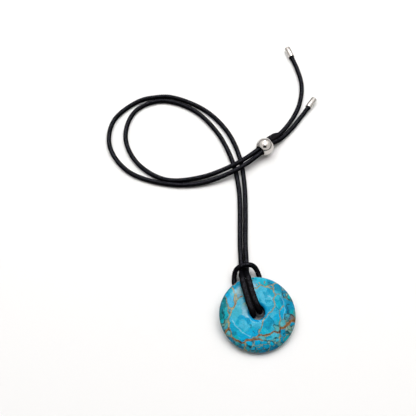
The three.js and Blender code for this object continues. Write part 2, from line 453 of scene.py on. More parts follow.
# %% Node helpers
def add_node(tree, kind, inputs=None, **options):
    """A new node with its options set first, because they decide which inputs it has."""
    node = tree.nodes.new(kind)
    node.location = (190 * (len(tree.nodes) % 12), -240 * (len(tree.nodes) // 12))
    for option, value in options.items():
        setattr(node, option, value)
    for socket, value in (inputs or {}).items():
        if isinstance(value, bpy.types.NodeSocket):
            tree.links.new(value, node.inputs[socket])
        else:
            node.inputs[socket].default_value = value
    return node


def maths(tree, operation, *values):
    """The result of one step of arithmetic on one or two values."""
    return add_node(tree, "ShaderNodeMath", dict(enumerate(values)), operation=operation).outputs[0]


FACTOR, COLOUR_A, COLOUR_B, MIXED_COLOUR = 0, 6, 7, 2


def blend_colours(tree, share, low, high, blend_type="MIX"):
    """The low colour where the share is 0, the high one where it is 1, and a mix of them between."""
    inputs = {FACTOR: share, COLOUR_A: low, COLOUR_B: high}
    node = add_node(tree, "ShaderNodeMix", inputs, data_type="RGBA", blend_type=blend_type)
    return node.outputs[MIXED_COLOUR]


def in_range(tree, value, low, high, to_low=0.0, to_high=1.0):
    """The value moved from one range to another on a smooth step, and held at its ends."""
    inputs = {"Value": value, "From Min": low, "From Max": high, "To Min": to_low, "To Max": to_high}
    node = add_node(tree, "ShaderNodeMapRange", inputs, interpolation_type="SMOOTHSTEP")
    return node.outputs["Result"]


print("a Mix node takes its colours at inputs", COLOUR_A, "and", COLOUR_B)

# %% Helpers that read a place or a mark
def place_on_object(tree):
    """The place in metres from the object's origin, which stays with the object."""
    return add_node(tree, "ShaderNodeTexCoord").outputs["Object"]


def mark_on_mesh(tree, name, output="Fac"):
    """What the mesh keeps under this name at each point."""
    return add_node(tree, "ShaderNodeAttribute", attribute_name=name).outputs[output]


def noise(tree, place, scale, detail=2.0, roughness=0.5):
    """Cloudy values round a half. The scale is about the number of clouds to a metre."""
    inputs = {"Vector": place, "Scale": scale, "Detail": detail, "Roughness": roughness}
    return add_node(tree, "ShaderNodeTexNoise", inputs).outputs[0]


print("the cord's mesh keeps:", ", ".join(mark.name for mark in cord.data.attributes))

# %% Helpers for materials and colours
def new_material(name, **constants):
    """A material with one Principled shader, its output, and the values that are the same all over."""
    material = bpy.data.materials.new(name)
    material.use_nodes = True
    shader = material.node_tree.nodes["Principled BSDF"]
    for socket, value in constants.items():
        shader.inputs[socket.replace("_", " ")].default_value = value
    return material, material.node_tree, shader


def srgb(red, green, blue):
    """A colour as a paint chart gives it, from 0 to 255, in the linear values that Blender works in."""
    share = np.array([red, green, blue]) / 255
    linear = np.where(share <= 0.04045, share / 12.92, ((share + 0.055) / 1.055) ** 2.4)
    return (*linear.round(4).tolist(), 1.0)


print("a middle grey of 128 is", srgb(128, 128, 128)[0], "in linear values")

# %% [markdown]
# ## Handling marks, as a node group
#
# The stone's polish, the steel and the wax on the cord all have the same flaw: fingers have left patches
# that are a little duller. That is one effect for several materials, so it is a node group with named
# inputs, and each material places it with its own values. It puts out only a roughness.

# %% Build the handling marks once
def new_group(name, inputs, outputs):
    """An empty node group with named sockets, and the nodes that stand for its two ends."""
    group = bpy.data.node_groups.new(name, "ShaderNodeTree")
    for label, kind, value in inputs:
        socket = group.interface.new_socket(label, in_out="INPUT", socket_type=kind)
        if value is not None:
            socket.default_value = value
    for label, kind in outputs:
        group.interface.new_socket(label, in_out="OUTPUT", socket_type=kind)
    return group, group.nodes.new("NodeGroupInput"), group.nodes.new("NodeGroupOutput")


def place_group(tree, group, inputs):
    """One use of a node group, with its own values."""
    return add_node(tree, "ShaderNodeGroup", inputs, node_tree=group)


FLOAT, VECTOR = "NodeSocketFloat", "NodeSocketVector"
handling_marks, marks_in, marks_out = new_group(
    "handling_marks",
    [("Place", VECTOR, None), ("Patch Scale", FLOAT, 300.0), ("Clean", FLOAT, 0.1), ("Dull", FLOAT, 0.2)],
    [("Roughness", FLOAT)],
)
patches = noise(handling_marks, marks_in.outputs["Place"], marks_in.outputs["Patch Scale"], 4.0, 0.6)
clean, dull = marks_in.outputs["Clean"], marks_in.outputs["Dull"]
dulled = in_range(handling_marks, patches, 0.4, 0.72, clean, dull)
handling_marks.links.new(dulled, marks_out.inputs["Roughness"])
print("handling marks:", len(handling_marks.nodes), "nodes in the group")

# %% [markdown]
# ## Waxed black cotton
#
# The mesh gives each stitch its swell. The material adds what is finer than the mesh: the slant of the
# stitches, which changes side from one column to the next, the yarns inside each stitch, and the dark
# gaps between them. It reads the unrolled map, because the pattern has to follow the cord round its bends.
#
# Cloth that is black right through would look like rubber. A painted highlight goes on the tops of the
# stitches in spots, a dark grey over the black dye. It is painted strongest on the side that faces up,
# where the light from above falls, and the sides stay black. The wax gives only a faint gloss, which loose
# fibres break towards the cord's edges.

# %% The cord's material: places in the braid
waxed_cotton, tree, shader = new_material("waxed_black_cotton", IOR=1.06)
unrolled = add_node(tree, "ShaderNodeUVMap", uv_map="unrolled").outputs["UV"]
apart = add_node(tree, "ShaderNodeSeparateXYZ", {"Vector": unrolled})
column_place = maths(tree, "MULTIPLY", apart.outputs["X"], float(columns))
column_share = maths(tree, "FRACT", column_place)
odd_column = maths(tree, "MODULO", maths(tree, "FLOOR", column_place), 2.0)
lean = 1.1
slant = maths(tree, "MULTIPLY", maths(tree, "SUBTRACT", odd_column, 0.5), lean)
slanted = maths(tree, "MULTIPLY", maths(tree, "SUBTRACT", column_share, 0.5), slant)
stitch_place = maths(tree, "MULTIPLY", apart.outputs["Y"], float(stitch_count))
stitch_phase = maths(tree, "ADD", stitch_place, maths(tree, "MULTIPLY", odd_column, 0.5))
stitch_share = maths(tree, "FRACT", maths(tree, "ADD", stitch_phase, slanted))


def pillow(share, power):
    """1 in the middle and 0 at both ends: one less a power of the distance from the middle."""
    off_middle = maths(tree, "ABSOLUTE", maths(tree, "SUBTRACT", maths(tree, "MULTIPLY", share, 2.0), 1.0))
    return maths(tree, "SUBTRACT", 1.0, maths(tree, "POWER", off_middle, power))


print("stitches in the material:", columns, "round the cord and", stitch_count, "along it")

# %% The cord's material: relief
yarns_per_stitch, yarn_height, fuzz_height = 5, 0.09, 0.25
swell = maths(tree, "MULTIPLY", pillow(column_share, 3.0), pillow(stitch_share, 4.0))
yarn_wave = maths(tree, "SINE", maths(tree, "MULTIPLY", stitch_share, 2 * math.pi * yarns_per_stitch))
cord_coordinates = add_node(tree, "ShaderNodeTexCoord")
object_place = cord_coordinates.outputs["Object"]
fuzz = noise(tree, object_place, 9000.0, 3.0, 0.7)
height = maths(tree, "ADD", swell, maths(tree, "MULTIPLY", yarn_wave, yarn_height))
height = maths(tree, "ADD", height, maths(tree, "MULTIPLY", fuzz, fuzz_height))
relief = add_node(tree, "ShaderNodeBump", {"Height": height, "Strength": 0.9, "Distance": 0.00006})
tree.links.new(relief.outputs["Normal"], shader.inputs["Normal"])
print(f"a yarn is {stitch_length / yarns_per_stitch / MM:.2f} mm wide")

# %% The cord's material: dye, painted highlight and wax
# Painted highlight: grey spots on the tops of the stitches, strongest where the surface faces up towards the
# light.
painted_glint_spots = in_range(tree, noise(tree, object_place, 1300.0), 0.4, 0.6, 0.1, 1.0)
facing = add_node(tree, "ShaderNodeSeparateXYZ", {"Vector": cord_coordinates.outputs["Normal"]})
painted_top_highlight = in_range(tree, facing.outputs["Z"], 0.8, 0.98, 0.1, 1.0)
painted_highlight = maths(tree, "MULTIPLY", painted_glint_spots, in_range(tree, swell, 0.1, 0.8))
painted_highlight = maths(tree, "MULTIPLY", painted_highlight, painted_top_highlight)
dye_and_highlight = blend_colours(tree, painted_highlight, srgb(1, 1, 3), srgb(66, 66, 73))
squeezed_here = mark_on_mesh(tree, "squeezed")
dye_and_highlight = blend_colours(tree, maths(tree, "MULTIPLY", squeezed_here, 0.6), dye_and_highlight, srgb(22, 20, 20))
tree.links.new(dye_and_highlight, shader.inputs["Base Color"])
wax = place_group(
    tree, handling_marks, {"Place": object_place, "Patch Scale": 700.0, "Clean": 0.25, "Dull": 0.4}
)
seen_edge_on = add_node(tree, "ShaderNodeLayerWeight", {"Blend": 0.5}).outputs["Facing"]
tree.links.new(maths(tree, "ADD", wax.outputs["Roughness"], seen_edge_on), shader.inputs["Roughness"])
cord.data.materials.append(waxed_cotton)
print("waxed black cotton:", len(tree.nodes), "nodes")

# %% [markdown]
# ## The steel bead and caps
#
# The bead is a ball with a wide straight bore whose edge is rounded over. Each cap is a plain cup that
# closes over the cord's end. Both are turned shapes, so each is a profile of radius and height, carried
# round an axis. The profiles are the solids' own, with many more steps, because a polished surface shows
# every facet.

# %% Profiles
def arc(middle, radii, start, stop, steps):
    """Points on part of an ellipse, from one angle to the other."""
    angle = np.radians(np.linspace(start, stop, steps))
    return np.transpose([middle[0] + radii[0] * np.cos(angle), middle[1] + radii[1] * np.sin(angle)])


def bend(start, pull, stop, steps):
    """A curve from start to stop that leaves and arrives in the direction of the pull point."""
    t = np.linspace(0, 1, steps)[:, None]
    return (1 - t) ** 2 * np.array(start) + 2 * t * (1 - t) * np.array(pull) + t**2 * np.array(stop)


def both_halves(half):
    """Half a ring's profile from its outer waist to its inner one, and the same half mirrored below."""
    return np.vstack([half, (half[1:-1] * [1, -1])[::-1]])


def turned(profile, steps):
    """A profile of radius and height carried round: radius times cosine, radius times sine, height."""
    angle = 2 * math.pi * np.arange(steps) / steps
    radius, rise = profile[:, :1], profile[:, 1:]
    return np.stack(np.broadcast_arrays(radius * np.cos(angle), radius * np.sin(angle), rise), axis=-1)


bead_radius, bore_radius, bore_lip = 6.0, 3.5, 0.5
lip_angle = math.degrees(math.acos((bore_radius + bore_lip) / bead_radius))
bore_end = math.sqrt(bead_radius**2 - bore_radius**2)
ball = arc((0, 0), (bead_radius, bead_radius), 0, lip_angle, 40)
lip = bend(ball[-1], (bore_radius, bore_end - bore_lip / 3), (bore_radius, bore_end - 2 * bore_lip), 12)
bore_wall = [[bore_radius, 1.6], [bore_radius, 0]]
bead_profile = both_halves(np.vstack([ball, lip[1:], bore_wall])) * MM

cap_radius, cap_bore, cap_length, cap_depth = 2.2, 1.8, 9.0, 6.5
mouth_bevel, end_round, pole = 0.12, 0.5, 0.08
cap_profile = np.vstack([
    [[pole, cap_depth], [cap_bore, cap_depth], [cap_bore, mouth_bevel]],
    arc((cap_bore + mouth_bevel, mouth_bevel), (mouth_bevel, mouth_bevel), 180, 270, 5),
    arc((cap_radius - mouth_bevel, mouth_bevel), (mouth_bevel, mouth_bevel), 270, 360, 5),
    arc((cap_radius - end_round, cap_length - end_round), (end_round, end_round), 0, 90, 12),
    [[pole, cap_length]],
]) * MM
print("bead profile:", len(bead_profile), "points; cap profile:", len(cap_profile), "points")

# %% Make the bead and the caps
def along_axis(shape, axes, middle):
    """A turned shape laid with its height along the first axis, and its place at the middle."""
    return shape @ axes[[1, 2, 0]] + middle


bead_facets, cap_facets = 128, 96
ball_shape = along_axis(turned(bead_profile, bead_facets), bead_axes, bead_middle)
steel_pieces = {"slider_bead": mesh_from_grid("steel_bead", ball_shape, ring_closed=True)}
for node, (mouth, turn) in cap_mouths.items():
    cup = along_axis(turned(cap_profile, cap_facets), axes_of(turn, 0), mouth)
    steel_pieces[node] = mesh_from_grid("steel_" + node, cup, ring_closed=False)
for piece in steel_pieces.values():
    piece.data.set_sharp_from_angle(angle=math.radians(40))

# %% [markdown]
# Polished steel has almost no colour of its own: it is a slightly warm mirror. What makes it look real is
# that the mirror isn't perfect. The handling marks dull it in patches, and very fine scratches from
# sliding on the cord bend the reflections a little.

# %% The steel's material
polished_steel, tree, shader = new_material("polished_steel", Metallic=1.0)
shader.inputs["Base Color"].default_value = srgb(196, 192, 188)
object_place = place_on_object(tree)
marks = place_group(
    tree, handling_marks, {"Place": object_place, "Patch Scale": 450.0, "Clean": 0.04, "Dull": 0.1}
)
tree.links.new(marks.outputs["Roughness"], shader.inputs["Roughness"])
scratches = noise(tree, object_place, 6000.0, 4.0, 0.7)
relief = add_node(tree, "ShaderNodeBump", {"Height": scratches, "Strength": 0.12, "Distance": 0.00002})
tree.links.new(relief.outputs["Normal"], shader.inputs["Normal"])
for piece in steel_pieces.values():
    piece.data.materials.append(polished_steel)
print("polished steel:", len(tree.nodes), "nodes, on", len(steel_pieces), "pieces")

# %% [markdown]
# ## The stone
#
# The pendant is a flat ring, ground round at the rim, softly domed on both faces and drilled with a hole
# that sits a little above the middle. It is reconstituted turquoise: nuggets of different blues pressed
# together with a copper-coloured matrix, then cut and polished.
#
# The ring is a closed profile carried round on a fine grid. Each ring of points moves up by its share of
# the hole's offset, so the rim stays round.

# %% The stone's shape
stone_radius, face_height, rim_height = 22.5, 3.25, 2.9
hole_radius, hole_round, hole_offset, rim_depth = 4.4, 2.0, 0.8, 3.6
dome_start, dome_end = hole_radius + hole_round, stone_radius - rim_depth
dome_top = ((dome_start + dome_end) / 2, face_height)
half_profile_points, stone_facets = 76, 600
half_profile = np.vstack([
    arc((dome_end, 0), (rim_depth, rim_height), 0, 90, 60),
    bend((dome_end, rim_height), dome_top, (dome_start, face_height), 60)[1:],
    arc((dome_start, face_height - hole_round), (hole_round, hole_round), 90, 180, 30)[1:],
    [[hole_radius, 0]],
])
stone_profile = both_halves(even_steps(half_profile, half_profile_points))
stone_shape = turned(stone_profile, stone_facets)
in_from_rim = (stone_radius - stone_profile[:, 0]) / (stone_radius - hole_radius)
stone_shape[..., 1] += hole_offset * in_from_rim[:, None]
stone = mesh_from_grid("turquoise_ring", (stone_shape * MM) @ stone_axes + stone_middle, ring_closed=True)
lowest = min(corner[2] for corner in stone.bound_box)
print("the stone's lowest point in mm:", round(lowest / MM, 3))

# %% [markdown]
# ## The stone's pattern
#
# A Voronoi texture gives nuggets at once, but they all have one size and no order. In this stone one big
# pale nugget lies beside the hole, small ones crowd at the lower rim, and two copper veins cross the face.
# So the pattern is drawn as on a chart: under the name of its colour each nugget is a radius and a short
# line, and each vein is a line with half its width at either end. For every point of the mesh, arrays of
# distances then say which nugget it is in and how far it is from each kind of vein.
#
# The chart is in millimetres in the plane of the stone, measured across and up from the middle of its rim.
# Lower in the stone the chart slides sideways, so that the veins run through to the underside aslant.

# %% Colours of the nuggets
nugget_colours = {
    "milky and painted sheen": srgb(124, 176, 196), "pale": srgb(70, 166, 194), "light": srgb(66, 160, 182),
    "cyan": srgb(6, 147, 180), "bright": srgb(0, 148, 190), "turquoise": srgb(38, 158, 182),
    "blue": srgb(0, 124, 158), "deep": srgb(0, 98, 130), "teal": srgb(0, 108, 114),
    "dark teal": srgb(4, 92, 98), "bright teal": srgb(0, 150, 162), "grey": srgb(116, 152, 156),
    "grey green": srgb(78, 132, 128), "pale teal": srgb(86, 156, 160), "moss": srgb(106, 144, 128),
    "sage": srgb(138, 166, 150), "earth": srgb(112, 90, 68),
}
print("kinds of nugget:", ", ".join(nugget_colours))

# %% Large nuggets, which melt into each other
large_nuggets = {
    "teal": [
        (1.8, [(-20.5, 3), (-19.6, 8), (-17.8, 12)]), (1.0, [(-16.9, 9), (-16.8, 13)]),
        (1.0, [(-15.5, 16.6), (-12.8, 18.6)]), (1.3, [(-16.4, -8.6)]),
    ],
    "bright teal": [
        (0.8, [(-21.2, 0.4), (-20.9, 1.2)]), (0.9, [(-19.4, 1.8), (-18.3, 4), (-17.6, 6.8)]),
        (1.1, [(-16.4, -10), (-15.3, -11.3)]), (1.0, [(20.8, -0.6), (19.8, -3.4)]),
        (1.1, [(9.4, -7.4), (9, -8.8)]), (0.9, [(9.6, 15.6)]),
    ],
    "bright": [
        (1.7, [(-14.2, 9), (-14, 12), (-13.8, 14)]), (0.9, [(-11.8, -0.2), (-8.6, -0.4)]),
        (1.7, [(-13.4, -9.6), (-12.6, -11.6), (-9.6, -11.9)]), (1.1, [(-7.8, -2.2), (-6.4, -4)]),
        (1.8, [(-7.6, -9), (-7, -10.8), (-4.4, -10)]), (1.5, [(14.6, -1.4), (13.6, -5.2)]),
        (1.5, [(8.6, -6), (10.6, -4.4)]),
    ],
    "light": [
        (1.2, [(-12.6, 17), (-11.9, 15.3), (-12, 14)]), (2.8, [(-14, 2), (-11, 5), (-8.5, 9.6)]),
        (1.2, [(13.8, 9.6), (15.4, 9)]),
    ],
    "cyan": [
        (0.9, [(-12.6, 9.6), (-13.6, 8.2)]), (1.3, [(-16.8, -2.8), (-16.7, -5.4)]),
        (1.0, [(-13.4, -1.6), (-12.6, -3.6)]), (1.5, [(10.2, 11.4), (11, 8.8)]),
        (0.8, [(17, 4), (17.2, 1.6)]), (2.6, [(4.2, -5.2), (3.4, -7.4)]),
    ],
    "sage": [(0.7, [(-9.6, 4.8), (-8.6, 6.3), (-6.9, 7.5)])],
    "milky and painted sheen": [
        # The first of these, left of the hole where the dome starts, is painted sheen: a whitish reflection
        # painted as a nugget.
        (1.2, [(-8, 5.2), (-7.3, 2.6), (-6.8, 0)]), (0.8, [(-9.8, 14.9), (-9.2, 16.2)]),
        (0.8, [(3.4, 11.6), (7.2, 10.4), (8.8, 8)]), (0.9, [(2.2, 17.6), (2.2, 13.4)]),
    ],
    "grey": [(1.6, [(-8.8, 13), (-7, 15.6)])],
    "blue": [
        (1.5, [(-9, 18.4), (-6.5, 19.3)]), (2.0, [(14.6, 13), (15.6, 11.5)]), (1.3, [(14.9, 5), (15, 2.6)]),
        (2.2, [(19.8, 1.6), (20, -1)]), (1.8, [(3.6, -9), (5.8, -7.4)]), (1.2, [(11.2, 16.6), (13, 16.6)]),
    ],
    "pale": [
        (1.5, [(-15.6, 0.8), (-14.4, -1)]), (2.4, [(-11.6, -4.6), (-9.8, -3.6), (-9.2, -6.4)]),
        (1.5, [(-3.6, -5.6), (-1, -6.6)]), (3.6, [(4, 11.5), (7, 9), (8, 4.4), (7.5, 1.5)]),
        (1.7, [(7.2, -2.6), (10.6, -1.4)]),
    ],
    "turquoise": [
        (1.6, [(-14.2, -6.6), (-12, -8.4)]), (0.8, [(-5.2, -7.8), (-4.4, -8.6)]),
        (1.3, [(-1, -8.4), (-1, -11)]), (2.1, [(13.2, 5.8), (12.8, 2)]), (1.5, [(1.6, -11.6), (5.2, -11)]),
        (2.4, [(4.4, 19), (8, 18.9)]), (2.6, [(-2.5, 18), (-2.2, 12)]),
    ],
    "deep": [(0.8, [(16.8, 13.4)]), (0.7, [(18, 0.8), (17.4, -3.4)])],
    "grey green": [(0.9, [(21.7, -3), (21, -6)])],
}
print("large nuggets:", sum(len(group) for group in large_nuggets.values()))

# %% Small nuggets, each set in matrix
small_nuggets = {
    "blue": [
        (0.8, [(-15.5, 5), (-15.3, 4.2)]), (1.1, [(-5, -20), (-3.4, -20)]),
        (1.1, [(-1.2, -19.4), (0.6, -19.6)]), (1.3, [(12, -13.2), (10.6, -16)]),
        (1.1, [(9.6, -17.4), (9.6, -19)]), (1.1, [(17.2, -10.8), (18.6, -10.5)]),
        (0.9, [(-8.4, -19.2), (-7.4, -18.9)]), (0.8, [(-20.8, -8.4)]), (0.7, [(18.3, 7.2), (18.4, 6)]),
    ],
    "bright": [(1.3, [(-10, -15.7), (-8.8, -16)]), (1.5, [(-5.4, -16.6), (-4.4, -16.2)])],
    "deep": [
        (0.7, [(-7.3, -16)]), (0.9, [(-5, -21.4), (-3, -21.6)]), (1.1, [(2.6, -21.2), (5, -20.7)]),
        (1.2, [(-19, -10.8), (-18.2, -12.4)]), (1.0, [(-15.4, -16.2), (-13.8, -17.4)]), (0.6, [(-22, -3.4)]),
        (1.0, [(18.4, 8.8), (19.6, 8.6)]),
    ],
    "cyan": [
        (1.0, [(-2, -17), (-0.4, -17.4)]), (1.3, [(3, -18.8), (3.4, -19.4)]),
        (0.7, [(-14, -15.6), (-13.2, -16)]),
    ],
    "light": [
        (0.6, [(-6.2, -18.6), (-4.2, -18.4)]), (0.9, [(6.6, -18), (7.2, -17.4)]),
        (1.3, [(1, -15.6), (4, -15), (7.3, -14.6)]),
    ],
    "sage": [
        (0.6, [(1.8, -18), (1.9, -18.6)]), (0.5, [(5.2, -18.9)]), (0.8, [(13.4, -12.9)]),
        (0.7, [(17.6, -12.3)]), (0.6, [(-7.9, -17.4)]), (0.5, [(19.5, 7.4), (19.3, 6)]),
        (0.5, [(18.2, 11.4), (18.5, 10.2)]),
    ],
    "pale teal": [
        (0.6, [(4.9, -17.3)]), (1.1, [(-1.4, -14.4), (0, -15)]), (1.0, [(8.3, -11.2), (8.2, -9.6)]),
        (1.3, [(12, -9.6), (13.8, -8)]), (0.9, [(15.2, -5.4), (16.6, -5.4)]),
        (1.1, [(-19.9, -7), (-19.5, -7.8)]), (1.0, [(-20.2, -3), (-19.3, -2)]),
    ],
    "grey green": [(1.2, [(7.5, -20)]), (0.9, [(14.6, -6.6), (15, -8.4)])],
    "bright teal": [
        (0.9, [(11, -18.6), (13.6, -16.6)]), (0.8, [(20.7, 6), (20.4, 4.6)]), (0.8, [(2.1, 20.6)]),
    ],
    "dark teal": [(0.9, [(13.4, -15), (14.6, -15.8)])],
    "moss": [
        (0.9, [(15.6, -12.4)]), (0.8, [(15.2, -14.6)]), (0.6, [(-11.8, -16.2), (-12.6, -17)]),
        (0.5, [(-8.4, -20.4), (-9.4, -20.2)]), (0.8, [(-21, -1.8), (-19.4, -0.8)]),
    ],
    "earth": [(1.2, [(18.2, -7.4), (19.4, -7.9)])],
    "teal": [
        (0.9, [(-16.4, -13.4), (-15.2, -14.8)]), (0.8, [(-11.2, -17.8), (-10.4, -18.8)]),
        (0.8, [(-6.2, -21)]), (0.8, [(20, 3.6), (21.2, 3)]),
    ],
}
print("small nuggets:", sum(len(group) for group in small_nuggets.values()))

# %% Veins of copper ore
copper_veins = [
    (0.4, 0.5, [(-21.6, -6.3), (-20.4, -5.6), (-19.2, -5.2), (-18.6, -4.8)]),
    (0.25, 0.35, [(-18, -10), (-17.3, -11.4), (-15.9, -12.6), (-14.6, -13.5), (-13.8, -14.2)]),
    (0.3, 0.5, [(-13.4, -14.4), (-12, -14.5), (-10.8, -14), (-9.5, -13.7), (-8.4, -13.8)]),
    (0.5, 0.4, [(-8.4, -13.8), (-7, -14.2), (-5.4, -14.4), (-4.2, -14.4), (-3.2, -14.8)]),
    (0.35, 0.15, [(-3.2, -14.8), (-2.6, -15.5), (-1.8, -16.3)]),
    (0.35, 0.3, [(-3.6, -12.8), (-1.2, -12.8), (0.3, -13.3), (2, -13.6), (4, -13.1), (6, -12.6)]),
    (0.3, 0.4, [(6, -12.6), (7.3, -13.1), (8.3, -13.5), (9.5, -13.4)]),
    (0.6, 0.65, [(10, -11.9), (11.5, -11.6), (13, -11.3), (14.5, -10.7), (15.8, -9.8)]),
    (0.5, 0.7, [(15.8, -9.7), (17, -9.1), (18.4, -9), (19.5, -9.2)]),
    (0.2, 0.3, [(-13, 6.9), (-12, 7.9), (-11.4, 8.8)]),
    (0.25, 0.25, [(-7.6, 11.7), (-6.4, 11.7)]),
    (0.3, 0.3, [(-9.6, 20.2), (-8, 20.8)]),
]
umber_spots = [
    (0.3, 0.4, [(-19.6, -5.7), (-18.6, -5.9)]),
    (0.5, 0.4, [(-14, -14.1), (-13.6, -14.4)]),
    (0.3, 0.45, [(10.2, -11.4), (9.9, -12.6), (9.5, -13.8)]),
    (0.4, 0.35, [(18.9, -5.7), (19.6, -6.2)]),
    (0.3, 0.3, [(20, -8.6), (19.8, -9.4)]),
    (0.25, 0.25, [(7.8, -13.2), (8.3, -13.5)]),
]
print("copper veins:", len(copper_veins), "with umber spots:", len(umber_spots))

# %% Veins of matrix
tan_veins = [
    (0.4, 0.45, [(-18.4, -4), (-18.2, -2.4), (-18, -0.6), (-17.6, 0.8), (-16.7, 2.2), (-16.3, 2.9)]),
    (0.35, 0.3, [(-16.5, 3), (-16.7, 4.6), (-16.3, 6), (-16, 7.6)]),
    (0.25, 0.1, [(-16, 7.6), (-15.8, 9.5), (-15.9, 12), (-16, 15)]),
    (0.25, 0.35, [(-16.2, 2.8), (-15.2, 3.9), (-14.5, 5), (-14, 5.8)]),
    (0.4, 0.55, [(-15.4, 6.5), (-14.3, 6.2), (-13.3, 6.3), (-12.4, 7.2)]),
    (0.55, 0.35, [(-12.4, 7.2), (-11.6, 8.4), (-10.6, 9.6), (-9.4, 10.9), (-8.6, 11.5)]),
    (0.3, 0.3, [(-8.6, 11.5), (-7.4, 11.8), (-6.2, 11.6)]),
    (0.35, 0.5, [(-11.5, 9), (-11.3, 10.6), (-11, 12.4)]),
    (0.45, 0.3, [(-11, 12.4), (-10.3, 13.6), (-9.6, 13.9)]),
    (0.25, 0.2, [(-9.9, 10.8), (-9.9, 12.2), (-9.9, 13.5)]),
    (0.25, 0.35, [(-10.2, 14.9), (-10.3, 16.2), (-10.7, 17.4), (-10.9, 18.8)]),
    (0.3, 0.3, [(-18.5, -6), (-18.2, -7.2), (-18.1, -8.6), (-18.4, -9.6)]),
    (0.25, 0.25, [(-19.3, -8.9), (-18.6, -9.7)]),
    (0.25, 0.25, [(-11.6, -15.3), (-12.2, -16.2), (-12.8, -17.6), (-11.6, -19)]),
    (0.3, 0.45, [(9.2, -14.6), (9, -15.6), (8.1, -16.5)]),
    (0.2, 0.2, [(8.3, -17.4), (8.3, -18.4)]),
    (0.3, 0.35, [(2.2, 14.9), (3.4, 14.7), (4.8, 15.5), (6.2, 15.8), (7.4, 15.3)]),
    (0.35, 0.35, [(7.4, 15.3), (8.6, 14.3), (9.6, 13.8), (10.8, 13), (12.2, 12)]),
    (0.15, 0.25, [(9.2, 14.4), (10.8, 14.5), (12, 14.8), (13, 14.5), (14.5, 14.8), (15.8, 15.4)]),
    (0.3, 0.3, [(13, 14.6), (12.7, 12.4), (12.7, 10.4), (12.8, 8.2)]),
    (0.45, 0.3, [(12.9, 8.2), (12.3, 7.6)]),
    (0.25, 0.2, [(12.3, 7.6), (11.5, 6.8), (11.2, 5.4), (10.9, 3.4), (10.7, 1.5)]),
    (0.25, 0.15, [(10.6, 1.1), (9.5, 0.5), (8.4, -0.4), (7, -1.1), (5.6, -1.9), (4.4, -2.9)]),
    (0.2, 0.35, [(4.4, -2.9), (3, -3.8), (1.9, -4.9), (1, -6)]),
    (0.25, 0.2, [(1, -6), (0.3, -7.4), (-0.3, -8.8), (-1.5, -9.8), (-2.5, -10.9), (-3, -12.4)]),
    (0.15, 0.2, [(12.3, -1.5), (13.8, -0.7), (15.3, 0.4), (16.3, 1)]),
    (0.15, 0.25, [(12.3, -2), (12.2, -4), (11.7, -6), (11, -8), (10.5, -9.6), (10.2, -11)]),
    (0.1, 0.2, [(13.2, 8), (14.6, 8.2), (15.4, 7.9)]),
    (0.2, 0.3, [(-6.6, -13.2), (-5, -13.1), (-4, -12.9)]),
    (0.25, 0.3, [(0.6, -14), (2, -14.2), (3.4, -13.8)]),
    (0.3, 0.3, [(3.8, 16.6), (3.7, 17.2)]),
    (0.35, 0.35, [(5.5, 17.3)]),
    (0.35, 0.3, [(8.6, 17.6), (8.6, 16.8)]),
    (0.15, 0.15, [(18.2, 5.6), (18.8, 4.6), (18.9, 3.8)]),
]
print("tan veins:", len(tan_veins))

